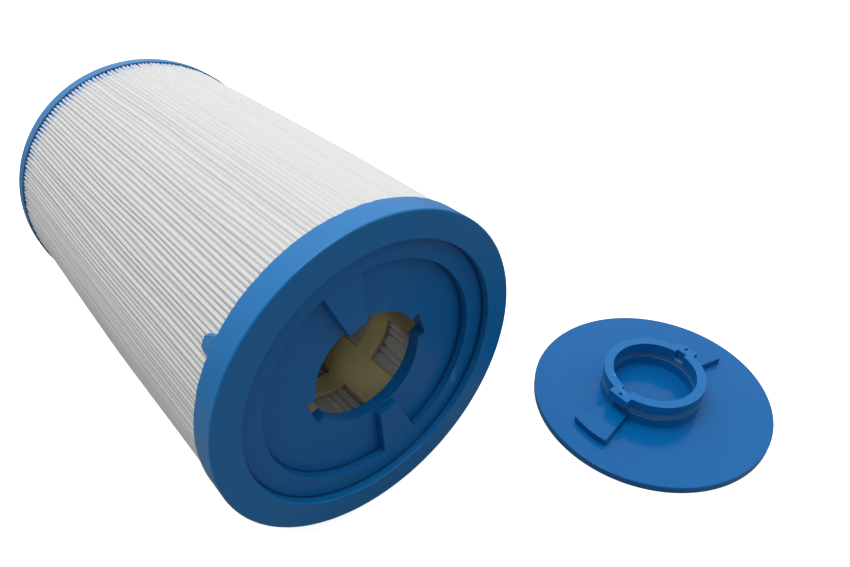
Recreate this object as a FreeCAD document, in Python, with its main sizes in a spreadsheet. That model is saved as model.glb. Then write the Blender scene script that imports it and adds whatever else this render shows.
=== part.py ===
# Pleated water filter cartridge lying on its side, with its twist-lock lid lifted off and laid
# flat beside it. Millimetres. The row's origin is the centre of the outlet bore at the back face,
# +Y runs along the cartridge from its mouth to its back, +Z is up.
import FreeCAD
import Part
import Sketcher
import os

Vector = FreeCAD.Vector
Rotation = FreeCAD.Rotation

doc = FreeCAD.newDocument("filter_cartridge")
sheet = doc.addObject("Spreadsheet::Sheet", "sizes")

SIZES = [
    # whole cartridge
    ("cap_radius", 108.0),
    ("overall_length", 338.0),
    ("edge_bevel", 1.0),
    # front end cap: a cast ring round a recess for the lid
    ("rim_width", 18.0),
    ("recess_depth", 6.0),
    ("cap_lip", 1.1),
    ("potting_overlap", 2.0),
    ("potting_gap", 0.3),
    # resin that ran out over the pleats beside the cast ring
    ("flash_length", 9.0),
    ("flash_angle", 7.5),
    ("flash_direction", 143.0),
    # mouth plate: ledge, pocket, hub and hole with two keyways
    ("flange_overlap", 3.0),
    ("flange_thickness", 4.0),
    ("ledge_width", 14.2),
    ("pocket_depth", 6.2),
    ("pocket_wall", 4.2),
    ("floor_thickness", 4.2),
    ("hole_radius", 38.5),
    ("hub_wall", 6.7),
    ("hub_length", 4.8),
    ("keyway_depth", 5.1),
    ("keyway_direction", 14.0),
    # stop blocks welded in the pocket
    ("block_sink", 0.2),
    ("block_setback", 1.5),
    ("block_angle", 20.0),
    ("block_direction", 101.3),
    # core tube, pleated pack and the strip that closes the pack
    ("core_fit_gap", 0.2),
    ("core_wall", 2.6),
    ("seam_thickness", 3.0),
    ("seam_edge_margin", 3.0),
    ("seam_side_gap", 0.3),
    ("seam_direction", 300.0),
    ("window_width", 31.5),
    ("window_length", 27.0),
    ("window_pitch", 43.2),
    ("window_front_margin", 7.6),
    ("window_back_margin", 12.0),
    ("window_columns", 5),
    ("window_direction", 37.8),
    # back end cap and its outlet collar
    ("back_cap_height", 10.8),
    ("outlet_radius", 30.0),
    ("outlet_wall", 8.0),
    ("outlet_flange_height", 5.0),
    # lid disc and where it lies on the floor
    ("lid_edge_gap", 0.6),
    ("lid_bevel", 0.6),
    ("lid_spacing", 7.0),
    ("lid_front_offset", 69.2),
    ("lid_direction", -4.4),
    # the two tabs on the lid
    ("tab_floor_gap", 0.4),
    ("tab_end_gap", 5.1),
    ("tab_angle", 24.0),
    ("tab_foot_gap", 0.1),
    # collar on the lid: base ring, seal ring and bayonet ring with two lugs
    ("collar_gap", 1.0),
    ("collar_wall", 6.8),
    ("base_ring_height", 8.5),
    ("seal_height", 5.0),
    ("seal_inset", 0.6),
    ("bayonet_groove_height", 1.2),
    ("lug_tip_gap", 1.4),
    ("lug_side_gap", 1.1),
    ("lug_width", 16.4),
    ("lug_height", 6.3),
    ("lug_back_gap", 0.5),
    ("notch_width", 8.0),
    ("notch_depth", 3.0),
    ("dimple_radius", 1.4),
    ("dimple_depth", 2.0),
    ("dimple_inset", 3.2),
]

DERIVED = [
    # depths from the front face
    ("pocket_floor", "=recess_depth + pocket_depth"),
    ("flange_back", "=recess_depth + flange_thickness"),
    ("media_front", "=pocket_floor + floor_thickness"),
    ("front_cap_height", "=media_front + potting_overlap"),
    ("flash_end", "=front_cap_height + flash_length"),
    ("hub_back", "=media_front + hub_length"),
    ("block_top", "=recess_depth + block_sink"),
    ("back_cap_front", "=overall_length - back_cap_height"),
    ("media_back", "=back_cap_front + potting_overlap"),
    ("outlet_flange_front", "=media_back - outlet_flange_height"),
    ("back_edge", "=overall_length - edge_bevel"),
    ("window_start", "=media_front + window_front_margin"),
    ("window_room", "=media_back - window_start - window_back_margin - window_length"),
    ("window_rows", "=floor(window_room / window_pitch) + 1"),
    # radii in the cartridge
    ("cap_edge_radius", "=cap_radius - edge_bevel"),
    ("potting_radius", "=cap_radius - cap_lip"),
    ("media_radius", "=potting_radius - potting_gap"),
    ("recess_radius", "=cap_radius - rim_width"),
    ("flange_radius", "=recess_radius + flange_overlap"),
    ("pocket_radius", "=recess_radius - ledge_width"),
    ("cup_radius", "=pocket_radius + pocket_wall"),
    ("hub_radius", "=hole_radius + hub_wall"),
    ("keyway_reach", "=hole_radius + keyway_depth"),
    ("keyway_width", "=lug_width + 2 * lug_side_gap"),
    ("block_inner_radius", "=hole_radius + block_setback"),
    ("core_bore_radius", "=hub_radius + core_fit_gap"),
    ("core_radius", "=core_bore_radius + core_wall"),
    ("seam_inner_radius", "=core_radius + seam_edge_margin"),
    ("seam_outer_radius", "=media_radius - seam_edge_margin"),
    ("seam_slot_width", "=seam_thickness + 2 * seam_side_gap"),
    ("outlet_seat_radius", "=outlet_radius + outlet_wall"),
    # lid, whose heights match the depths that its pieces reach when it is fitted
    ("lid_radius", "=recess_radius - lid_edge_gap"),
    ("lid_thickness", "=recess_depth"),
    ("lid_edge_radius", "=lid_radius - lid_bevel"),
    ("lid_edge_top", "=lid_thickness - lid_bevel"),
    ("lid_centre_x", "=cap_radius + lid_spacing + lid_radius"),
    ("tab_top", "=pocket_floor - tab_floor_gap"),
    ("tab_outer_radius", "=pocket_radius - tab_end_gap"),
    ("collar_radius", "=hole_radius - collar_gap"),
    ("tab_inner_radius", "=collar_radius + tab_foot_gap"),
    ("collar_bore_radius", "=collar_radius - collar_wall"),
    ("seal_bottom", "=lid_thickness + base_ring_height"),
    ("bayonet_bottom", "=seal_bottom + seal_height"),
    ("groove_top", "=bayonet_bottom + bayonet_groove_height"),
    ("lug_bottom", "=hub_back + lug_back_gap"),
    ("bayonet_top", "=lug_bottom + lug_height"),
    ("seal_radius", "=collar_radius - seal_inset"),
    ("seal_bore_radius", "=collar_bore_radius + seal_inset"),
    ("lug_reach", "=keyway_reach - lug_tip_gap"),
    ("notch_reach", "=collar_bore_radius + notch_depth"),
    ("dimple_distance", "=lug_reach - dimple_inset"),
]

for row, (name, value) in enumerate(SIZES + DERIVED, start=1):
    sheet.set("A%d" % row, name)
    sheet.set("B%d" % row, str(value))
    sheet.setAlias("B%d" % row, name)
doc.recompute()


def size(name):
    return float(sheet.get(name))


def linked(name):
    return "sizes." + name


def new_body(label, turn=0.0, on_lid=False):
    """A body in the cartridge's frame (its Z runs in from the front face) or in the lid's frame
    (its Z runs up from the floor), turned about that Z by `turn` degrees."""
    body = doc.addObject("PartDesign::Body", label)
    body.Label = label
    spin = Rotation(Vector(0, 0, 1), turn)
    if on_lid:
        body.Placement = FreeCAD.Placement(Vector(0, 0, 0), spin)
        body.setExpression("Placement.Base.x", linked("lid_centre_x"))
        body.setExpression(
            "Placement.Base.y", "-%s - %s" % (linked("overall_length"), linked("lid_front_offset"))
        )
        body.setExpression("Placement.Base.z", "-" + linked("cap_radius"))
    else:
        lying = Rotation(Vector(1, 0, 0), -90)
        body.Placement = FreeCAD.Placement(Vector(0, 0, 0), lying.multiply(spin))
        body.setExpression("Placement.Base.y", "-" + linked("overall_length"))
    return body


def origin_item(body, role):
    return [item for item in body.Origin.OriginFeatures if item.Role == role][0]


def new_sketch(body, name, plane):
    sketch = body.newObject("Sketcher::SketchObject", name)
    sketch.AttachmentSupport = [(origin_item(body, plane), "")]
    sketch.MapMode = "FlatFace"
    return sketch


def bind(sketch, constraint, expression):
    index = sketch.addConstraint(constraint)
    sketch.setExpression("Constraints[%d]" % index, expression)


def value_of(expression):
    return size(expression) if expression != "0" else 0.0


def outline(sketch, corners):
    """Closed outline whose corners are (radius, height) pairs of size names."""
    points = [Vector(value_of(a), value_of(b), 0) for a, b in corners]
    count = len(points)
    for i in range(count):
        sketch.addGeometry(Part.LineSegment(points[i], points[(i + 1) % count]), False)
    for i in range(count):
        sketch.addConstraint(Sketcher.Constraint("Coincident", i, 2, (i + 1) % count, 1))
    for i, (across, along) in enumerate(corners):
        for kind, name, spot in (("DistanceX", across, points[i].x), ("DistanceY", along, points[i].y)):
            if name == "0":
                sketch.addConstraint(Sketcher.Constraint(kind, -1, 1, i, 1, 0.0))
            else:
                bind(sketch, Sketcher.Constraint(kind, -1, 1, i, 1, spot), linked(name))


def centred_rectangle(sketch, width, height, low=None):
    """Rectangle centred on the vertical axis; centred on the origin too when `low` is None.
    Sizes are given as expressions."""
    half, tall = 5.0, 10.0
    base = -tall / 2 if low is None else 1.0
    spots = [(-half, base), (half, base), (half, base + tall), (-half, base + tall)]
    points = [Vector(x, y, 0) for x, y in spots]
    for i in range(4):
        sketch.addGeometry(Part.LineSegment(points[i], points[(i + 1) % 4]), False)
    for i in range(4):
        sketch.addConstraint(Sketcher.Constraint("Coincident", i, 2, (i + 1) % 4, 1))
    for i in (0, 2) if low is None else (2,):
        sketch.addConstraint(Sketcher.Constraint("Horizontal", i))
    for i in (1, 3):
        sketch.addConstraint(Sketcher.Constraint("Vertical", i))
    bind(sketch, Sketcher.Constraint("DistanceX", 0, 1, 0, 2, 2 * half), width)
    bind(sketch, Sketcher.Constraint("DistanceY", 1, 1, 1, 2, tall), height)
    if low is None:
        sketch.addConstraint(Sketcher.Constraint("Symmetric", 0, 1, 1, 2, -1, 1))
    else:
        sketch.addConstraint(Sketcher.Constraint("Symmetric", 0, 1, 0, 2, -2))
        bind(sketch, Sketcher.Constraint("DistanceY", -1, 1, 0, 1, base), low)


def revolve(body, name, corners, angle=None):
    """Turn an outline about the body's Z, a full turn or a sector centred on the body's X."""
    sketch = new_sketch(body, name + "_outline", "XZ_Plane")
    outline(sketch, corners)
    feature = body.newObject("PartDesign::Revolution", name)
    feature.Profile = sketch
    feature.ReferenceAxis = (sketch, ["V_Axis"])
    if angle is None:
        feature.Angle = 360.0
    else:
        feature.Midplane = True
        feature.setExpression("Angle", linked(angle))
    body.Tip = feature
    doc.recompute()
    return feature


def check_removed(body, before, name):
    doc.recompute()
    if not body.Shape.Volume < before - 1.0:
        raise ValueError(name + " removes nothing")


def cut_through(body, name, sketch, width=None):
    """Pocket both ways from the sketch, right through or `width` wide altogether."""
    before = body.Shape.Volume
    feature = body.newObject("PartDesign::Pocket", name)
    feature.Profile = sketch
    feature.Midplane = True
    if width is None:
        feature.Type = "ThroughAll"
    else:
        feature.setExpression("Length", linked(width))
    body.Tip = feature
    check_removed(body, before, name)
    return feature


# ---- cast front end cap, with the run of resin beside it
front_cap = new_body("front_end_cap", -size("flash_direction"))
revolve(
    front_cap,
    "front_ring",
    [
        ("recess_radius", "0"),
        ("cap_edge_radius", "0"),
        ("cap_radius", "edge_bevel"),
        ("cap_radius", "front_cap_height"),
        ("potting_radius", "front_cap_height"),
        ("potting_radius", "media_front"),
        ("cup_radius", "media_front"),
        ("cup_radius", "flange_back"),
        ("flange_radius", "flange_back"),
        ("flange_radius", "recess_depth"),
        ("recess_radius", "recess_depth"),
    ],
)
revolve(
    front_cap,
    "resin_run",
    [
        ("potting_radius", "front_cap_height"),
        ("cap_radius", "front_cap_height"),
        ("cap_radius", "flash_end"),
        ("potting_radius", "flash_end"),
    ],
    angle="flash_angle",
)

# ---- mouth plate: ledge, pocket, hub and the hole with its two keyways
mouth_plate = new_body("mouth_plate", -size("keyway_direction"))
revolve(
    mouth_plate,
    "plate",
    [
        ("hole_radius", "pocket_floor"),
        ("pocket_radius", "pocket_floor"),
        ("pocket_radius", "recess_depth"),
        ("flange_radius", "recess_depth"),
        ("flange_radius", "flange_back"),
        ("cup_radius", "flange_back"),
        ("cup_radius", "media_front"),
        ("hub_radius", "media_front"),
        ("hub_radius", "hub_back"),
        ("hole_radius", "hub_back"),
    ],
)
keyways = new_sketch(mouth_plate, "keyways_outline", "XY_Plane")
centred_rectangle(keyways, "2 * sizes.keyway_reach", "sizes.keyway_width")
cut_through(mouth_plate, "keyways", keyways)

# ---- the two stop blocks in the pocket, half a turn apart
BLOCK_OUTLINE = [
    ("block_inner_radius", "block_top"),
    ("pocket_radius", "block_top"),
    ("pocket_radius", "pocket_floor"),
    ("block_inner_radius", "pocket_floor"),
]
for label, half_turn in (("stop_block_upper", 0), ("stop_block_lower", 180)):
    block = new_body(label, -size("block_direction") - half_turn)
    revolve(block, label + "_sector", BLOCK_OUTLINE, angle="block_angle")

# ---- pleated pack as a tube, slotted for the strip that closes it
media = new_body("pleated_media", -size("seam_direction"))
revolve(
    media,
    "pack",
    [
        ("core_radius", "media_front"),
        ("media_radius", "media_front"),
        ("media_radius", "media_back"),
        ("core_radius", "media_back"),
    ],
)
seam_slot = new_sketch(media, "seam_slot_outline", "XZ_Plane")
outline(
    seam_slot,
    [
        ("core_bore_radius", "0"),
        ("cap_radius", "0"),
        ("cap_radius", "overall_length"),
        ("core_bore_radius", "overall_length"),
    ],
)
cut_through(media, "seam_slot", seam_slot, "seam_slot_width")

# ---- strip that closes the pleated pack into a ring
seam = new_body("pack_seam_strip", -size("seam_direction"))
seam_outline = new_sketch(seam, "strip_outline", "XZ_Plane")
outline(
    seam_outline,
    [
        ("seam_inner_radius", "media_front"),
        ("seam_outer_radius", "media_front"),
        ("seam_outer_radius", "media_back"),
        ("seam_inner_radius", "media_back"),
    ],
)
strip = seam.newObject("PartDesign::Pad", "strip")
strip.Profile = seam_outline
strip.Midplane = True
strip.setExpression("Length", linked("seam_thickness"))
seam.Tip = strip
doc.recompute()

# ---- core tube with rows of windows
core = new_body("core_tube", -size("window_direction"))
revolve(
    core,
    "tube",
    [
        ("core_bore_radius", "media_front"),
        ("core_radius", "media_front"),
        ("core_radius", "media_back"),
        ("core_bore_radius", "media_back"),
    ],
)
solid_tube = core.Shape.Volume
window_outline = new_sketch(core, "window_outline", "YZ_Plane")
centred_rectangle(window_outline, "sizes.window_width", "sizes.window_length", low="sizes.window_start")
window = core.newObject("PartDesign::Pocket", "window")
window.Profile = window_outline
window.Type = "Length"
window.Reversed = True
window.setExpression("Length", linked("cap_radius"))
core.Tip = window
check_removed(core, solid_tube, "window")
one_window = solid_tube - core.Shape.Volume
grid = core.newObject("PartDesign::MultiTransform", "window_grid")
columns = core.newObject("PartDesign::PolarPattern", "window_columns")
columns.Axis = (origin_item(core, "Z_Axis"), [""])
columns.Angle = 360.0
columns.setExpression("Occurrences", linked("window_columns"))
rows = core.newObject("PartDesign::LinearPattern", "window_rows")
rows.Direction = (origin_item(core, "Z_Axis"), [""])
rows.setExpression("Length", "sizes.window_pitch * (sizes.window_rows - 1)")
rows.setExpression("Occurrences", linked("window_rows"))
grid.Originals = [window]
grid.Transformations = [columns, rows]
core.Tip = grid
doc.recompute()
window_count = size("window_columns") * size("window_rows")
if abs(solid_tube - core.Shape.Volume - window_count * one_window) > 1.0:
    raise ValueError("the core tube lacks some of its windows")

# ---- cast back end cap and the outlet collar set in it
back_cap = new_body("back_end_cap")
revolve(
    back_cap,
    "back_disc",
    [
        ("outlet_seat_radius", "media_back"),
        ("potting_radius", "media_back"),
        ("potting_radius", "back_cap_front"),
        ("cap_radius", "back_cap_front"),
        ("cap_radius", "back_edge"),
        ("cap_edge_radius", "overall_length"),
        ("outlet_seat_radius", "overall_length"),
    ],
)
outlet_collar = new_body("outlet_collar")
revolve(
    outlet_collar,
    "collar",
    [
        ("outlet_radius", "outlet_flange_front"),
        ("hub_radius", "outlet_flange_front"),
        ("hub_radius", "media_back"),
        ("outlet_seat_radius", "media_back"),
        ("outlet_seat_radius", "overall_length"),
        ("outlet_radius", "overall_length"),
    ],
)

# ---- lid disc and its two tabs
lid_disc = new_body("lid_disc", size("lid_direction"), on_lid=True)
revolve(
    lid_disc,
    "disc",
    [
        ("0", "0"),
        ("lid_edge_radius", "0"),
        ("lid_radius", "lid_bevel"),
        ("lid_radius", "lid_edge_top"),
        ("lid_edge_radius", "lid_thickness"),
        ("0", "lid_thickness"),
    ],
)
TAB_OUTLINE = [
    ("tab_inner_radius", "lid_thickness"),
    ("tab_outer_radius", "lid_thickness"),
    ("tab_outer_radius", "tab_top"),
    ("tab_inner_radius", "tab_top"),
]
for label, half_turn in (("lid_tab_right", 0), ("lid_tab_left", 180)):
    tab = new_body(label, size("lid_direction") + half_turn, on_lid=True)
    revolve(tab, label + "_sector", TAB_OUTLINE, angle="tab_angle")

# ---- lid collar: base ring, pale seal ring, bayonet ring
base_ring = new_body("collar_base_ring", size("lid_direction"), on_lid=True)
revolve(
    base_ring,
    "base",
    [
        ("collar_bore_radius", "lid_thickness"),
        ("collar_radius", "lid_thickness"),
        ("collar_radius", "seal_bottom"),
        ("collar_bore_radius", "seal_bottom"),
    ],
)
seal_ring = new_body("collar_seal_ring", size("lid_direction"), on_lid=True)
revolve(
    seal_ring,
    "seal",
    [
        ("seal_bore_radius", "seal_bottom"),
        ("seal_radius", "seal_bottom"),
        ("seal_radius", "bayonet_bottom"),
        ("seal_bore_radius", "bayonet_bottom"),
    ],
)
bayonet = new_body("bayonet_ring", size("lid_direction"), on_lid=True)
lug_outline = new_sketch(bayonet, "lug_outline", "XZ_Plane")
centred_rectangle(lug_outline, "2 * sizes.lug_reach", "sizes.lug_height", low="sizes.lug_bottom")
lugs = bayonet.newObject("PartDesign::Pad", "lugs")
lugs.Profile = lug_outline
lugs.Midplane = True
lugs.setExpression("Length", linked("lug_width"))
bayonet.Tip = lugs
doc.recompute()
revolve(
    bayonet,
    "ring",
    [
        ("0", "bayonet_bottom"),
        ("seal_radius", "bayonet_bottom"),
        ("seal_radius", "groove_top"),
        ("collar_radius", "groove_top"),
        ("collar_radius", "bayonet_top"),
        ("0", "bayonet_top"),
    ],
)
bore_outline = new_sketch(bayonet, "bore_outline", "XY_Plane")
bore_outline.addGeometry(Part.Circle(Vector(0, 0, 0), Vector(0, 0, 1), 10.0), False)
bore_outline.addConstraint(Sketcher.Constraint("Coincident", 0, 3, -1, 1))
bind(bore_outline, Sketcher.Constraint("Radius", 0, 10.0), linked("collar_bore_radius"))
cut_through(bayonet, "bore", bore_outline)
notch_outline = new_sketch(bayonet, "notch_outline", "XY_Plane")
centred_rectangle(notch_outline, "2 * sizes.notch_reach", "sizes.notch_width")
cut_through(bayonet, "notches", notch_outline)
dimple_outline = new_sketch(bayonet, "dimple_outline", "XY_Plane")
dimple_outline.setExpression("AttachmentOffset.Base.z", "sizes.bayonet_top - sizes.dimple_depth")
for i, side in enumerate((1, -1)):
    centre = Vector(side * size("dimple_distance"), 0, 0)
    dimple_outline.addGeometry(Part.Circle(centre, Vector(0, 0, 1), size("dimple_radius")), False)
    bind(dimple_outline, Sketcher.Constraint("Radius", i, size("dimple_radius")), linked("dimple_radius"))
dimple_outline.addConstraint(Sketcher.Constraint("PointOnObject", 0, 3, -1))
bind(
    dimple_outline,
    Sketcher.Constraint("DistanceX", 1, 3, 0, 3, 2 * size("dimple_distance")),
    "2 * sizes.dimple_distance",
)
dimple_outline.addConstraint(Sketcher.Constraint("Symmetric", 0, 3, 1, 3, -1, 1))
before_dimples = bayonet.Shape.Volume
dimples = bayonet.newObject("PartDesign::Pocket", "dimples")
dimples.Profile = dimple_outline
dimples.Type = "Length"
dimples.Reversed = True
dimples.setExpression("Length", "2 * sizes.dimple_depth")
bayonet.Tip = dimples
check_removed(bayonet, before_dimples, "dimples")

# ---- check every object, then write each piece
doc.recompute()
for item in doc.Objects:
    if "Invalid" in item.State or "Error" in item.State:
        raise ValueError("%s is %s" % (item.Name, item.State))
os.makedirs("parts", exist_ok=True)
for body in [item for item in doc.Objects if item.TypeId == "PartDesign::Body"]:
    shape = body.Shape
    if shape.isNull() or not shape.isValid() or len(shape.Solids) != 1:
        raise ValueError(body.Label + " is not one sound solid")
    shape.exportStep("parts/%s.step" % body.Label)
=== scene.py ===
import math
import random

import bmesh
import bpy
from mathutils import Matrix, Vector, noise


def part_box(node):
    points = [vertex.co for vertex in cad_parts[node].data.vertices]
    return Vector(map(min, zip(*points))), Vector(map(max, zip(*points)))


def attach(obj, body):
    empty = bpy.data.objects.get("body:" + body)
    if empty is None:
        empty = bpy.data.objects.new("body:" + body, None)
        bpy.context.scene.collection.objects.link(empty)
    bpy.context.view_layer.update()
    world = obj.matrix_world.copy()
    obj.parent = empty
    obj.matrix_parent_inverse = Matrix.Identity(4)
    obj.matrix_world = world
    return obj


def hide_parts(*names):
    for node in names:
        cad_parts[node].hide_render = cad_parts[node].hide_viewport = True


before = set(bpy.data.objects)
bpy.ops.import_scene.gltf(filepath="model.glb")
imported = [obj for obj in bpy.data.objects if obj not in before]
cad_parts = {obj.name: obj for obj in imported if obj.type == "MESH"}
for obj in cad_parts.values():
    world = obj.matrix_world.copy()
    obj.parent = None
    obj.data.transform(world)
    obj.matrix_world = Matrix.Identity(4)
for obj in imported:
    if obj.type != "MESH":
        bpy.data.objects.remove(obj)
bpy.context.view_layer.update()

MM = 0.001

# ---------------------------------------------------------------- where things are
front_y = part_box("front_end_cap")[0].y
back_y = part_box("back_end_cap")[1].y
floor_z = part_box("front_end_cap")[0].z
lid_low, lid_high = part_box("lid_disc")
lid_centre = (lid_low + lid_high) / 2
lid_radius = (lid_high.x - lid_low.x) / 2 / MM
media_front = (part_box("pleated_media")[0].y - front_y) / MM
media_back = (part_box("pleated_media")[1].y - front_y) / MM

# Z of the cartridge's own frame runs in from the mouth, Z of the lid's runs up from the floor
LID_TURN = -4.4
CARTRIDGE = Matrix.Translation((0, front_y, 0)) @ Matrix.Rotation(math.radians(-90), 4, "X")
LID = Matrix.Translation((lid_centre.x, lid_centre.y, floor_z)) @ Matrix.Rotation(
    math.radians(LID_TURN), 4, "Z"
)

# ---------------------------------------------------------------- the design's sizes, in millimetres
# radii in the cartridge
CAP_RADIUS = 108.0
POTTING_RADIUS = 106.9
TIP_RADIUS = 106.6
FLANGE_RADIUS = 93.0
RECESS_RADIUS = 90.0
CUP_RADIUS = 80.0
POCKET_RADIUS = 75.8
OUTLET_SEAT_RADIUS = 38.0
# depths from the mouth's front face
RECESS_DEPTH = 6.0
FLANGE_BACK = 10.0
POCKET_FLOOR = 12.2
POTTING_START = 16.4
FRONT_CAP_BACK = 18.4
BACK_CAP_FRONT = 327.2
BACK_POTTING_END = 329.2
BACK_FACE = 338.0
# radii and heights in the lid
COLLAR_RADIUS = 37.5
COLLAR_BORE_RADIUS = 30.7
SEAL_RADIUS = 36.9
SEAL_BORE_RADIUS = 31.3
LID_THICKNESS = 6.0
SEAL_BOTTOM = 14.5
SEAL_TOP = 19.5

# a hair's breadth left above and below the seal, so that the lid's rings can turn past it
SEAL_GAP = 0.04
# edges that turn more than this, in degrees, are real corners
CORNER_ANGLE = 38.0
# points closer than this are one
WELD = 0.004 * MM


# ---------------------------------------------------------------- mesh helpers
def finish_mesh(bm, name, place, body, stands_for=(), sharp=CORNER_ANGLE, even=True):
    """Turn a bmesh into a piece that rides on a body."""
    bmesh.ops.remove_doubles(bm, verts=bm.verts, dist=WELD)
    bmesh.ops.recalc_face_normals(bm, faces=bm.faces)
    bmesh.ops.transform(bm, matrix=place, verts=bm.verts)
    for face in bm.faces:
        face.smooth = True
    for edge in bm.edges:
        if len(edge.link_faces) == 2 and edge.calc_face_angle(0) > math.radians(sharp):
            edge.smooth = False
    mesh = bpy.data.meshes.new(name)
    bm.to_mesh(mesh)
    bm.free()
    piece = bpy.data.objects.new(name, mesh)
    bpy.context.scene.collection.objects.link(piece)
    if even:
        shading = piece.modifiers.new("even_shading", "WEIGHTED_NORMAL")
        shading.keep_sharp = True
    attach(piece, body)
    if stands_for:
        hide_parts(*stands_for)
    return piece


def lathe(corners, turns):
    """Closed outline of (radius, height, rounding) in millimetres, spun about Z."""
    bm = bmesh.new()
    verts = [bm.verts.new((radius * MM, 0, height * MM)) for radius, height, _ in corners]
    for i, vert in enumerate(verts):
        bm.edges.new((vert, verts[(i + 1) % len(verts)]))
    for rounding in sorted({corner[2] for corner in corners if corner[2] > 0}, reverse=True):
        chosen = [vert for vert, corner in zip(verts, corners) if corner[2] == rounding and vert.is_valid]
        bmesh.ops.bevel(
            bm, geom=chosen, offset=rounding * MM, segments=4, profile=0.5,
            affect="VERTICES", material=-1,
        )
    bmesh.ops.spin(
        bm, geom=bm.verts[:] + bm.edges[:], cent=(0, 0, 0), axis=(0, 0, 1), dvec=(0, 0, 0),
        angle=2 * math.pi, steps=turns, use_merge=True, use_duplicate=False,
    )
    bmesh.ops.remove_doubles(bm, verts=bm.verts, dist=WELD)
    return bm


def softened(node, body, rounding):
    """A welded copy of a designed piece with its edges rounded."""
    bm = bmesh.new()
    bm.from_mesh(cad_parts[node].data)
    bmesh.ops.remove_doubles(bm, verts=bm.verts, dist=WELD)
    bmesh.ops.dissolve_limit(
        bm, angle_limit=math.radians(0.5), verts=bm.verts, edges=bm.edges,
        use_dissolve_boundaries=False,
    )
    corners = [
        edge for edge in bm.edges
        if len(edge.link_faces) == 2 and edge.calc_face_angle(0) > math.radians(CORNER_ANGLE)
    ]
    bmesh.ops.bevel(
        bm, geom=corners, offset=rounding * MM, segments=3, profile=0.5,
        affect="EDGES", clamp_overlap=True, material=-1,
    )
    return finish_mesh(bm, node + "_finished", Matrix.Identity(4), body, (node,))


# ---------------------------------------------------------------- material helpers
class Nodes:
    """Short way to add nodes to a tree and wire them."""

    def __init__(self, tree):
        self.tree = tree

    def add(self, kind, inputs=None, **settings):
        node = self.tree.nodes.new(kind)
        for key, value in settings.items():
            setattr(node, key, value)
        for key, value in (inputs or {}).items():
            if isinstance(value, bpy.types.NodeSocket):
                self.tree.links.new(value, node.inputs[key])
            else:
                node.inputs[key].default_value = value
        return node

    def math(self, operation, a, b=0.0, c=0.0, clamp=False):
        node = self.add("ShaderNodeMath", {0: a, 1: b, 2: c}, operation=operation, use_clamp=clamp)
        return node.outputs[0]

    def distance(self, a, b):
        squares = [self.math("POWER", value, 2.0) for value in (a, b)]
        return self.math("SQRT", self.math("ADD", *squares))

    def noise(self, where, scale, detail, roughness=0.5):
        node = self.add(
            "ShaderNodeTexNoise",
            {"Vector": where, "Scale": scale, "Detail": detail, "Roughness": roughness},
        )
        return node.outputs[0]

    def ramp(self, value, stops):
        node = self.add("ShaderNodeValToRGB", {0: value})
        elements = node.color_ramp.elements
        while len(elements) < len(stops):
            elements.new(0.5)
        for element, (place, level) in zip(elements, stops):
            element.position = place
            element.color = (level, level, level, 1)
        return node.outputs[0]

    def mix(self, factor, a, b):
        return self.add("ShaderNodeMix", {0: factor, 6: a, 7: b}, data_type="RGBA").outputs[2]

    def bump(self, height, strength, distance):
        settings = {"Height": height, "Strength": strength, "Distance": distance}
        return self.add("ShaderNodeBump", settings).outputs[0]


def new_material(name):
    material = bpy.data.materials.new(name)
    material.use_nodes = True
    material.node_tree.nodes.clear()
    return material, Nodes(material.node_tree)


def put_on_surface(n, shader):
    out = n.add("ShaderNodeOutputMaterial")
    n.tree.links.new(shader.outputs[0], out.inputs[0])


def new_group(name, inputs, outputs):
    """An empty shader node group with number inputs, a Vector input and number outputs."""
    tree = bpy.data.node_groups.new(name, "ShaderNodeTree")
    for label, default in inputs:
        socket = tree.interface.new_socket(label, in_out="INPUT", socket_type="NodeSocketFloat")
        socket.default_value = default
    tree.interface.new_socket("Vector", in_out="INPUT", socket_type="NodeSocketVector")
    for label in outputs:
        tree.interface.new_socket(label, in_out="OUTPUT", socket_type="NodeSocketFloat")
    nodes = Nodes(tree)
    return tree, nodes, nodes.add("NodeGroupInput").outputs, nodes.add("NodeGroupOutput")


def surface_wear_group():
    """Soft patches, faint scratches, specks and fine grain, as masks from 0 to 1."""
    tree, n, given, out = new_group(
        "surface_wear", [("Scale", 1.0)], ["Patches", "Scratches", "Specks", "Fine"]
    )
    place = n.add(
        "ShaderNodeVectorMath", {0: given["Vector"], 3: given["Scale"]}, operation="SCALE"
    ).outputs[0]
    lanes = n.add(
        "ShaderNodeMapping",
        {"Vector": place, "Rotation": (0.3, 0.5, 0.9), "Scale": (22.0, 420.0, 160.0)},
    ).outputs[0]
    line = n.ramp(n.noise(lanes, scale=1.6, detail=2.0), [(0.685, 0.0), (0.72, 1.0)])
    here_and_there = n.ramp(n.noise(place, scale=45.0, detail=1.0), [(0.5, 0.0), (0.62, 1.0)])
    cells = n.add("ShaderNodeTexVoronoi", {"Vector": place, "Scale": 260.0, "Randomness": 1.0})
    spot = n.ramp(cells.outputs["Distance"], [(0.06, 1.0), (0.14, 0.0)])
    rare = n.ramp(n.noise(place, scale=120.0, detail=0.0), [(0.58, 0.0), (0.64, 1.0)])
    cloudy = n.noise(place, scale=14.0, detail=4.0, roughness=0.6)
    masks = {
        "Patches": n.ramp(cloudy, [(0.35, 0.0), (0.68, 1.0)]),
        "Scratches": n.math("MULTIPLY", line, here_and_there),
        "Specks": n.math("MULTIPLY", spot, rare),
        "Fine": n.noise(place, scale=900.0, detail=3.0),
    }
    for label, mask in masks.items():
        tree.links.new(mask, out.inputs[label])
    return tree


# width of the painted shade in a corner and how much wider it grows in places, in millimetres
SHADE_REACH = 0.8
SHADE_WANDER = 2.4


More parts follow.
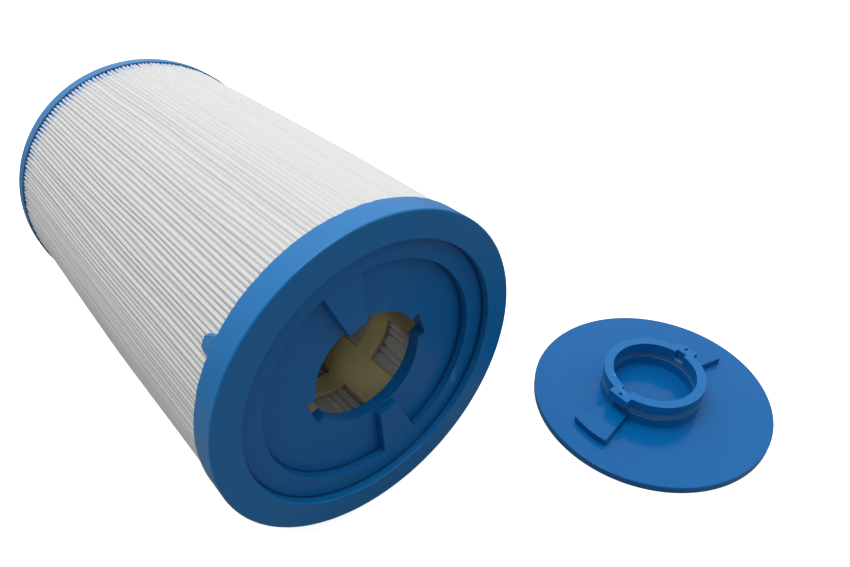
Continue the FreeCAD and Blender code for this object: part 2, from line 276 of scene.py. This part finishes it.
def corner_group():
    """Painted shade: a soft dark line where a wall meets a floor round the cartridge's axis."""
    tree, n, given, out = new_group("corner_shade", [("Radius", 0.0), ("Depth", 0.0)], ["Amount"])
    part = n.add("ShaderNodeSeparateXYZ", {0: given["Vector"]}).outputs
    off_radius = n.math("SUBTRACT", n.distance(part[0], part[2]), given["Radius"])
    off_depth = n.math("SUBTRACT", part[1], given["Depth"])
    uneven = n.noise(given["Vector"], scale=14.0, detail=2.0)
    reach = n.math("MULTIPLY_ADD", uneven, SHADE_WANDER * MM, SHADE_REACH * MM)
    away = n.math("DIVIDE", n.distance(off_radius, off_depth), reach)
    near = n.math("SUBTRACT", 1.0, away, clamp=True)
    tree.links.new(n.math("MULTIPLY", near, 0.9), out.inputs["Amount"])
    return tree


WEAR = surface_wear_group()
CORNER = corner_group()


# ---------------------------------------------------------------- materials
DUST = (0.35, 0.5, 0.66, 1)
# colour of the painted highlight on edges and ridges, which also stands for wear
EDGE_HIGHLIGHT_AND_WEAR = (0.10, 0.36, 0.66, 1)
# colour of the shade painted into the corners
PAINTED_CORNER_SHADE = (0.001, 0.03, 0.10, 1)


def blue_plastic(
    name, colour, pale, roughness, grain, swirl, dust, shine, wear_scale=1.0, coat=0.05, corners=()
):
    """Blue plastic: slow colour drift, faint scratches, dust, painted highlights with wear on the ridges
    and painted shade in the corners.
    """
    material, n = new_material(name)
    where = n.add("ShaderNodeTexCoord").outputs["Object"]
    wear = n.add("ShaderNodeGroup", {"Vector": where, "Scale": wear_scale}, node_tree=WEAR).outputs
    drift = n.math("MULTIPLY", wear["Patches"], 0.35)
    surface = n.mix(drift, (*colour, 1), (*pale, 1))
    marks = n.math("ADD", wear["Specks"], n.math("MULTIPLY", wear["Scratches"], 0.5), clamp=True)
    surface = n.mix(n.math("MULTIPLY", marks, dust), surface, DUST)
    # edges and ridges made lighter: a painted highlight, patchy like wear
    pointed = n.add("ShaderNodeNewGeometry").outputs["Pointiness"]
    ridge = n.ramp(pointed, [(0.58, 0.0), (0.66, 1.0)])
    highlight_and_wear = n.math("MULTIPLY", ridge, n.math("MULTIPLY_ADD", wear["Patches"], 0.35, 0.2))
    surface = n.mix(highlight_and_wear, surface, EDGE_HIGHLIGHT_AND_WEAR)
    # painted shade along each wall-floor corner given in corners
    for radius, depth in corners:
        line = {"Vector": where, "Radius": radius * MM, "Depth": front_y + depth * MM}
        painted_shade = n.add("ShaderNodeGroup", line, node_tree=CORNER)
        surface = n.mix(painted_shade.outputs["Amount"], surface, PAINTED_CORNER_SHADE)
    rough = n.math("ADD", n.math("MULTIPLY", wear["Patches"], 0.08), roughness)
    rough = n.math("ADD", rough, n.math("MULTIPLY", marks, 0.2), clamp=True)
    fine = n.math("MULTIPLY", wear["Fine"], grain)
    slow = n.noise(where, scale=30.0, detail=2.0)
    height = n.math("MULTIPLY_ADD", slow, swirl, fine)
    height = n.math("SUBTRACT", height, n.math("MULTIPLY", wear["Scratches"], 0.02))
    shader = n.add(
        "ShaderNodeBsdfPrincipled",
        {"Base Color": surface, "Roughness": rough, "Normal": n.bump(height, 0.5, 0.002)},
    )
    shader.inputs["IOR"].default_value = 1.5
    shader.inputs["Specular IOR Level"].default_value = shine
    shader.inputs["Coat Weight"].default_value = coat
    shader.inputs["Coat Roughness"].default_value = 0.08
    put_on_surface(n, shader)
    return material


def plain_plastic(name, colour, other, roughness, grain=0.03):
    """Plain plastic or rubber: patches of two near colours and a fine grain."""
    material, n = new_material(name)
    where = n.add("ShaderNodeTexCoord").outputs["Object"]
    wear = n.add("ShaderNodeGroup", {"Vector": where, "Scale": 2.0}, node_tree=WEAR).outputs
    surface = n.mix(wear["Patches"], (*colour, 1), (*other, 1))
    rough = n.math("MULTIPLY_ADD", wear["Patches"], 0.1, roughness)
    bump = n.bump(n.math("MULTIPLY", wear["Fine"], grain), 0.5, 0.002)
    shader = n.add(
        "ShaderNodeBsdfPrincipled", {"Base Color": surface, "Roughness": rough, "Normal": bump}
    )
    put_on_surface(n, shader)
    return material


# how far in from the back face resin soaked along the folds, and how much that wanders
WICK_REACH = 16.5
WICK_WANDER = 4.0
# it lies in the valleys, below this radius, and on the outer side of the pack only
WICK_RADIUS = 106.2
WICK_OUTSIDE = 85.0


def wicked_resin(n, where, clouds):
    """Mask of the valleys beside the back casting, where its blue resin soaked in."""
    part = n.add("ShaderNodeSeparateXYZ", {0: where}).outputs
    across = n.distance(part[0], part[2])
    past = n.math("SUBTRACT", part[1], back_y - WICK_REACH * MM)
    wander = n.math("MULTIPLY", clouds, WICK_WANDER * MM)
    near_end = n.math("MULTIPLY", n.math("ADD", past, wander), 450.0, clamp=True)
    low = n.math("MULTIPLY", n.math("SUBTRACT", WICK_RADIUS * MM, across), 1800.0, clamp=True)
    outside = n.math("GREATER_THAN", across, WICK_OUTSIDE * MM)
    return n.math("MULTIPLY", n.math("MULTIPLY", near_end, low), outside)


def pleat_material():
    """White spunbond polyester: matted fibres, tiny bonded dots and resin soaked in at one end."""
    material, n = new_material("spunbond_polyester")
    where = n.add("ShaderNodeTexCoord").outputs["Object"]
    lay = n.add("ShaderNodeMapping", {"Vector": where, "Scale": (1.0, 0.22, 1.0)}).outputs[0]
    fibres = n.noise(lay, scale=1500.0, detail=4.0, roughness=0.65)
    clouds = n.noise(where, scale=26.0, detail=3.0)
    dots = n.add("ShaderNodeTexVoronoi", {"Vector": where, "Scale": 1250.0, "Randomness": 0.35})
    bonded = n.ramp(dots.outputs["Distance"], [(0.18, 1.0), (0.34, 0.0)])
    tone = n.math("MULTIPLY_ADD", clouds, 0.25, n.math("MULTIPLY", fibres, 0.5), clamp=True)
    surface = n.mix(tone, (0.60, 0.604, 0.602, 1), (0.66, 0.665, 0.66, 1))
    surface = n.mix(n.math("MULTIPLY", bonded, 0.12), surface, (0.54, 0.55, 0.55, 1))
    surface = n.mix(wicked_resin(n, where, clouds), surface, (0.05, 0.38, 0.95, 1))
    height = n.math("SUBTRACT", n.math("MULTIPLY", fibres, 0.6), n.math("MULTIPLY", bonded, 0.3))
    rough = n.math("MULTIPLY_ADD", fibres, 0.15, 0.78)
    shader = n.add(
        "ShaderNodeBsdfPrincipled",
        {"Base Color": surface, "Roughness": rough, "Normal": n.bump(height, 0.35, 0.0004)},
    )
    shader.inputs["Sheen Weight"].default_value = 0.05
    shader.inputs["Specular IOR Level"].default_value = 0.25
    put_on_surface(n, shader)
    return material


# corners where a wall meets a floor, darkened with painted shade
RECESS_CORNER = (RECESS_RADIUS, RECESS_DEPTH)
POCKET_CORNER = (POCKET_RADIUS, POCKET_FLOOR)

CAST_BLUE = blue_plastic(
    "cast_blue_resin", (0.001, 0.158, 0.440), (0.002, 0.184, 0.48), 0.36,
    grain=0.03, swirl=0.25, dust=0.14, shine=0.35, corners=[RECESS_CORNER],
)
MOULDED_BLUE = blue_plastic(
    "moulded_blue_plastic", (0.001, 0.140, 0.42), (0.002, 0.160, 0.46), 0.34,
    grain=0.02, swirl=0.05, dust=0.18, shine=0.3, wear_scale=1.4,
    corners=[RECESS_CORNER, POCKET_CORNER],
)
SHEET_BLUE = blue_plastic(
    "glossy_blue_sheet", (0.001, 0.119, 0.37), (0.002, 0.133, 0.395), 0.14,
    grain=0.01, swirl=0.03, dust=0.06, shine=0.22, wear_scale=0.8,
)
RUN_BLUE = blue_plastic(
    "run_resin", (0.002, 0.16, 0.42), (0.008, 0.22, 0.46), 0.26,
    grain=0.02, swirl=0.1, dust=0.1, shine=0.4, wear_scale=3.0, coat=0.2,
)
PLEATS = pleat_material()
# the core's olive colour is painted shade, the warm tone of the light that reaches it through the folds
CORE_OLIVE_SHADE = plain_plastic("core_painted_olive_shade", (0.44, 0.385, 0.19), (0.50, 0.44, 0.23), 0.38)
SEAL = plain_plastic("pale_seal", (0.045, 0.16, 0.31), (0.07, 0.20, 0.36), 0.5, grain=0.06)
STRIP = plain_plastic("closing_strip", (0.7, 0.71, 0.72), (0.78, 0.79, 0.8), 0.5)


def coat(piece, material, slot):
    """Give a new piece its material. The slot argument, the record's slot that it stands for, is not
    used.
    """
    piece.data.materials.clear()
    piece.data.materials.append(material)


def recoat(node, material):
    """Give a designed piece that stays as it is a better material."""
    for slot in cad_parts[node].material_slots:
        slot.material = material


# ---------------------------------------------------------------- cast front end cap
def front_cap():
    bm = lathe(
        [
            (RECESS_RADIUS, 0.0, 0.9),
            (CAP_RADIUS, 0.0, 1.3),
            (CAP_RADIUS, FRONT_CAP_BACK, 0.5),
            (POTTING_RADIUS, FRONT_CAP_BACK, 0.0),
            (POTTING_RADIUS, POTTING_START, 0.0),
            (CUP_RADIUS, POTTING_START, 0.0),
            (CUP_RADIUS, FLANGE_BACK, 0.0),
            (FLANGE_RADIUS, FLANGE_BACK, 0.0),
            (FLANGE_RADIUS, RECESS_DEPTH, 0.0),
            (RECESS_RADIUS, RECESS_DEPTH, 0.0),
        ],
        turns=480,
    )
    # the casting's back edge wanders where the resin crept between the folds
    for vert in bm.verts:
        radius = math.hypot(vert.co.x, vert.co.y) / MM
        if vert.co.z > (FRONT_CAP_BACK - 0.9) * MM and radius > POTTING_RADIUS - 0.4:
            angle = math.atan2(vert.co.y, vert.co.x)
            creep = noise.noise(Vector((math.cos(angle) * 2.2, math.sin(angle) * 2.2, 3.1)))
            nibble = noise.noise(Vector((math.cos(angle) * 36, math.sin(angle) * 36, 7.7)))
            vert.co.z += (0.9 * creep - 0.5 + 0.55 * nibble) * MM
    piece = finish_mesh(bm, "front_casting", CARTRIDGE, "cartridge", ("front_end_cap",))
    coat(piece, CAST_BLUE, "blue_cast")


# the run of resin over the folds, to the upper left of the mouth: where it lies round the
# axis and how much of the turn it takes, in degrees
RUN_DIRECTION = 142.0
RUN_WIDTH = 7.4
# its depths from the mouth's front face and its radii, in millimetres
RUN_START = 16.9
RUN_LENGTH = 10.6
RUN_LIMIT = 27.2
RUN_UNDERSIDE = 105.4
RUN_EDGE_RADIUS = 106.55


def resin_run():
    """Tongue of resin that ran from the casting over the tips of the folds."""
    bm = bmesh.new()
    bmesh.ops.create_grid(bm, x_segments=60, y_segments=44, size=0.5)
    for vert in bm.verts:
        across, along = vert.co.x, vert.co.y + 0.5
        ragged = noise.noise(Vector((across * 7, 4.0, 1.0)))
        ragged += 0.5 * noise.noise(Vector((across * 19, 1.0, 5.0)))
        depth = RUN_START + along * (RUN_LENGTH + 2.2 * ragged - 4.2 * abs(across) ** 1.5)
        depth = min(depth, RUN_LIMIT)
        taper = 1.0 - 0.42 * along ** 1.5
        lean = -0.10 * along
        angle = math.radians((across * taper + lean) * RUN_WIDTH - RUN_DIRECTION)
        edge = min(1.0, 7.0 * (0.5 - abs(across)), 6.0 * (1.0 - along) + 0.04)
        fall = 1.0 - (1.0 - max(0.0, edge)) ** 2
        lumps = 0.16 * noise.noise(Vector((across * 4, along * 3, 2.0)))
        radius = RUN_EDGE_RADIUS + fall * (1.2 + lumps)
        vert.co = Vector((math.cos(angle) * radius, math.sin(angle) * radius, depth)) * MM
    shell = bmesh.ops.extrude_face_region(bm, geom=bm.faces[:])
    for item in shell["geom"]:
        if isinstance(item, bmesh.types.BMVert):
            inward = RUN_UNDERSIDE * MM / math.hypot(item.co.x, item.co.y)
            item.co.x *= inward
            item.co.y *= inward
    piece = finish_mesh(bm, "resin_over_folds", CARTRIDGE, "cartridge", sharp=60.0, even=False)
    coat(piece, RUN_BLUE, "blue_cast")


# ---------------------------------------------------------------- pleated pack
PLEATS_AROUND = 212
PITCH = 2 * math.pi / PLEATS_AROUND
# half a fold, as (share of the pitch, radius): its outer side from valley to tip, its inner side
OUTER_HALF = [(0.0, 105.9), (0.12, 106.08), (0.25, 106.3), (0.38, 106.5), (0.5, TIP_RADIUS)]
INNER_HALF = [(1.0, 48.3), (0.82, 48.6), (0.66, 49.8), (0.5, 51.0)]
# between the inner and the outer side
PACK_MIDDLE = 90.0
# the folds may swell to this, just inside the castings' radius
SWELL_LIMIT = 107.85
# past this share of the length the valleys open out towards the back casting, this steeply
GAPE_FROM = 0.955
GAPE_SLOPE = 3.4
# below this radius a point lies in a valley, and this much lower it moves by the full depth
VALLEY_TOP = 106.3
VALLEY_HEIGHT = 0.55
# how far the folds stand out half-way along, and beside the back casting
SWELL_HALF_WAY = 1.3
SWELL_AT_BACK = 0.5
# the inner folds lie in this many bunches, which stand off the core by up to this
BUNCHES = 46
BUNCH_RISE = 6.0
STEPS_ALONG = 28


def mirrored(half):
    """Half of a fold's outline, followed by the same half turned about the middle of the pitch."""
    return half + [(1.0 - share, radius) for share, radius in reversed(half[:-1])]


def fold_ring():
    """One fold's slice, spun round into a ring, drawn out along the axis and cut into short steps."""
    bm = bmesh.new()
    corners = []
    for share, radius in mirrored(OUTER_HALF) + mirrored(INNER_HALF):
        angle = (share - 0.5) * PITCH
        spot = (math.cos(angle) * radius * MM, math.sin(angle) * radius * MM, media_front * MM)
        corners.append(bm.verts.new(spot))
    slice_face = bm.faces.new(corners)
    others = PLEATS_AROUND - 1
    bmesh.ops.spin(
        bm, geom=[slice_face], cent=(0, 0, 0), axis=(0, 0, 1), dvec=(0, 0, 0),
        angle=2 * math.pi * others / PLEATS_AROUND, steps=others, use_duplicate=True,
    )
    bmesh.ops.remove_doubles(bm, verts=bm.verts, dist=0.01 * MM)
    drawn = bmesh.ops.extrude_face_region(bm, geom=bm.faces[:])
    far = [item for item in drawn["geom"] if isinstance(item, bmesh.types.BMVert)]
    bmesh.ops.translate(bm, vec=(0, 0, (media_back - media_front) * MM), verts=far)
    long_edges = [
        edge for edge in bm.edges if abs(edge.verts[0].co.z - edge.verts[1].co.z) > 10 * MM
    ]
    bmesh.ops.subdivide_edges(bm, edges=long_edges, cuts=STEPS_ALONG - 1, use_grid_fill=True)
    return bm


def pleat_pack():
    """The ring of folds, each with its own lean, height and depth, and wandering as it goes back."""
    bm = fold_ring()
    rng = random.Random(41)
    lean = [rng.uniform(-0.10, 0.10) for _ in range(PLEATS_AROUND)]
    height = [rng.uniform(-0.35, 0.10) for _ in range(PLEATS_AROUND)]
    depth = [rng.uniform(0.0, 1.0) ** 3 for _ in range(PLEATS_AROUND)]
    for vert in bm.verts:
        radius = math.hypot(vert.co.x, vert.co.y) / MM
        angle = math.atan2(vert.co.y, vert.co.x)
        ray = Vector((math.cos(angle), math.sin(angle), 0.0))
        along = (vert.co.z / MM - media_front) / (media_back - media_front)
        # steps are shorter near the castings, where the folds change most
        along = 0.4 * along + 0.6 * (0.5 - 0.5 * math.cos(math.pi * along))
        vert.co.z = (media_front + along * (media_back - media_front)) * MM
        if radius > PACK_MIDDLE:
            fold = int(round(angle / PITCH)) % PLEATS_AROUND
            between = int(math.floor(angle / PITCH)) % PLEATS_AROUND
            # 0 where the castings hold the folds, 1 half-way between them
            slack = math.sin(math.pi * min(1.0, max(0.0, along))) ** 0.5
            gape = max(0.0, (along - GAPE_FROM) / (1.0 - GAPE_FROM))
            valley = max(0.0, min(1.0, (VALLEY_TOP - radius) / VALLEY_HEIGHT))
            wave = noise.noise(ray * 9 + Vector((0, 0, along * 3.0)))
            curl = noise.noise(Vector((fold * 1.7, along * 5.0, 0.5)))
            angle += PITCH * (lean[fold] + slack * (0.30 * wave + 0.18 * curl))
            radius += height[fold] + SWELL_HALF_WAY * slack ** 3 + SWELL_AT_BACK * gape
            radius += 0.2 * slack * curl
            radius -= (GAPE_SLOPE * gape * (1.0 - 0.55 * gape) + depth[between]) * valley
            radius = min(radius, SWELL_LIMIT)
        else:
            bunch = noise.noise(ray * 9.5 + Vector((0, 0, along * 1.5)))
            radius += 0.8 * max(0.0, bunch)
            gap = abs(math.sin(BUNCHES / 2 * angle + 2.5 * bunch))
            radius += BUNCH_RISE * (1.0 - gap) ** 1.5
        vert.co.x = math.cos(angle) * radius * MM
        vert.co.y = math.sin(angle) * radius * MM
    piece = finish_mesh(
        bm, "folded_media", CARTRIDGE, "cartridge", ("pleated_media",), sharp=75.0, even=False
    )
    coat(piece, PLEATS, "media")


# ---------------------------------------------------------------- back end cap
def back_cap():
    bm = lathe(
        [
            (OUTLET_SEAT_RADIUS, BACK_POTTING_END, 0.0),
            (POTTING_RADIUS, BACK_POTTING_END, 0.0),
            (POTTING_RADIUS, BACK_CAP_FRONT, 0.0),
            (CAP_RADIUS, BACK_CAP_FRONT, 0.5),
            (CAP_RADIUS, BACK_FACE, 1.3),
            (OUTLET_SEAT_RADIUS, BACK_FACE, 0.0),
        ],
        turns=288,
    )
    piece = finish_mesh(bm, "back_casting", CARTRIDGE, "cartridge", ("back_end_cap",))
    coat(piece, CAST_BLUE, "blue_cast")


# ---------------------------------------------------------------- lid
def lid_plate():
    bm = lathe(
        [
            (0.0, 0.0, 0.0),
            (lid_radius, 0.0, 0.6),
            (lid_radius, LID_THICKNESS, 0.8),
            (0.0, LID_THICKNESS, 0.0),
        ],
        turns=256,
    )
    coat(finish_mesh(bm, "lid_sheet", LID, "lid", ("lid_disc",)), SHEET_BLUE, "blue_sheet")


def lid_ring(name, node, body, inner, outer, low, high, rounding, material, slot):
    """A plain ring of the lid's collar, with its upper edges rounded."""
    outline = [(inner, low, 0.0), (outer, low, 0.0), (outer, high, rounding), (inner, high, rounding)]
    coat(finish_mesh(lathe(outline, turns=160), name, LID, body, (node,)), material, slot)


front_cap()
resin_run()
pleat_pack()
back_cap()
lid_plate()
lid_ring(
    "collar_lower_ring", "collar_base_ring", "lid", COLLAR_BORE_RADIUS, COLLAR_RADIUS,
    LID_THICKNESS, SEAL_BOTTOM, 0.5, MOULDED_BLUE, "blue_moulded",
)
lid_ring(
    "collar_pale_ring", "collar_seal_ring", "seal", SEAL_BORE_RADIUS, SEAL_RADIUS,
    SEAL_BOTTOM + SEAL_GAP, SEAL_TOP - SEAL_GAP, 0.0, SEAL, "seal",
)
coat(softened("mouth_plate", "cartridge", 0.25), MOULDED_BLUE, "blue_moulded")
for block in ("stop_block_upper", "stop_block_lower"):
    coat(softened(block, "cartridge", 0.7), MOULDED_BLUE, "blue_moulded")
for tab in ("lid_tab_right", "lid_tab_left"):
    coat(softened(tab, "lid", 0.5), SHEET_BLUE, "blue_sheet")
coat(softened("bayonet_ring", "lid", 0.5), MOULDED_BLUE, "blue_moulded")
coat(softened("outlet_collar", "cartridge", 0.6), MOULDED_BLUE, "blue_moulded")
recoat("core_tube", CORE_OLIVE_SHADE)
recoat("pack_seam_strip", STRIP)


# ---------------------------------------------------------------- floor, light, camera
def floor():
    bm = bmesh.new()
    bmesh.ops.create_grid(bm, x_segments=2, y_segments=2, size=6.0)
    bmesh.ops.translate(bm, vec=(0, 0, floor_z), verts=bm.verts)
    mesh = bpy.data.meshes.new("floor")
    bm.to_mesh(mesh)
    bm.free()
    sheet = bpy.data.objects.new("floor", mesh)
    bpy.context.scene.collection.objects.link(sheet)
    # seen as white, but it throws light back as a grey floor does, so the undersides stay dark
    material, n = new_material("pale_floor")
    seen = n.add("ShaderNodeLightPath").outputs["Is Camera Ray"]
    grey = n.add("ShaderNodeBsdfDiffuse", {"Color": (0.30, 0.305, 0.31, 1)}).outputs[0]
    white = n.add("ShaderNodeBsdfDiffuse", {"Color": (0.80, 0.80, 0.80, 1)}).outputs[0]
    glow = n.add("ShaderNodeEmission", {"Color": (1.0, 1.0, 1.0, 1), "Strength": 0.78}).outputs[0]
    shown = n.add("ShaderNodeAddShader", {0: white, 1: glow}).outputs[0]
    put_on_surface(n, n.add("ShaderNodeMixShader", {0: seen, 1: grey, 2: shown}))
    mesh.materials.append(material)


def place_lamp(lamp, place, aim):
    """Hang a lamp at a place, turned to shine at another."""
    holder = bpy.data.objects.new(lamp.name, lamp)
    holder.location = place
    holder.rotation_euler = (Vector(aim) - Vector(place)).to_track_quat("-Z", "Y").to_euler()
    bpy.context.scene.collection.objects.link(holder)


def softbox(name, place, aim, size, watts):
    """A flat soft lamp of a size in metres."""
    lamp = bpy.data.lights.new(name, "AREA")
    lamp.shape = "RECTANGLE"
    lamp.size, lamp.size_y = size
    lamp.energy = watts
    place_lamp(lamp, place, aim)


def core_glow():
    """A weak spot lamp for the light that reaches the core through the folds."""
    lamp = bpy.data.lights.new("inside_core", "SPOT")
    lamp.energy = 0.036
    lamp.color = (1.0, 0.96, 0.9)
    lamp.spot_size = math.radians(50)
    lamp.spot_blend = 0.8
    lamp.shadow_soft_size = 0.006
    place_lamp(lamp, (-0.028, front_y + 0.046, 0.030), (0.028, front_y + 0.052, -0.030))


def studio():
    """Pale room, bright overhead and behind the cartridge, with soft lamps."""
    world = bpy.data.worlds.new("studio")
    world.use_nodes = True
    n = Nodes(world.node_tree)
    toward = n.add("ShaderNodeTexCoord").outputs["Generated"]
    lit = n.add("ShaderNodeVectorMath", {0: toward, 1: (0.27, 0.53, 0.80)}, operation="DOT_PRODUCT")
    level = n.add(
        "ShaderNodeMapRange",
        {
            "Value": lit.outputs["Value"],
            "From Min": -0.3, "From Max": 1.0,
            "To Min": 0.13, "To Max": 1.12,
        },
    ).outputs[0]
    seen = n.add("ShaderNodeLightPath").outputs["Is Camera Ray"]
    strength = n.math("MAXIMUM", level, n.math("MULTIPLY", seen, 1.1))
    background = world.node_tree.nodes["Background"]
    background.inputs[0].default_value = (1.0, 1.0, 1.0, 1)
    n.tree.links.new(strength, background.inputs[1])
    bpy.context.scene.world = world
    softbox("overhead", (-0.05, -0.15, 1.5), aim=(0.0, -0.2, 0.0), size=(0.9, 0.9), watts=11.2)
    softbox("from_mouth_side", (0.9, -1.3, 0.8), aim=(0.0, -0.3, 0.0), size=(0.9, 0.7), watts=1.1)
    core_glow()
    bpy.context.scene.view_settings.view_transform = "Standard"


def camera():
    """Wide lens, a little above the mouth and to its left, looking down across it."""
    eye = Vector((-0.1550, front_y - 0.2279, floor_z + 0.3857))
    down = math.radians(37.19)
    tilt = math.radians(-1.67)
    level = Vector((0.6417, 0.7670, 0)).normalized()
    right = level.cross(Vector((0, 0, 1)))
    forward = level * math.cos(down) - Vector((0, 0, 1)) * math.sin(down)
    up = right.cross(forward)
    side = right * math.cos(tilt) + up * math.sin(tilt)
    top = up * math.cos(tilt) - right * math.sin(tilt)
    lens = bpy.data.cameras.new("camera")
    lens.lens = 27.503
    lens.sensor_width = 36.0
    lens.clip_start = 0.01
    holder = bpy.data.objects.new("camera", lens)
    turned = Matrix((side, top, -forward)).transposed().to_4x4()
    holder.matrix_world = Matrix.Translation(eye) @ turned
    bpy.context.scene.collection.objects.link(holder)
    bpy.context.scene.camera = holder


floor()
studio()
camera()
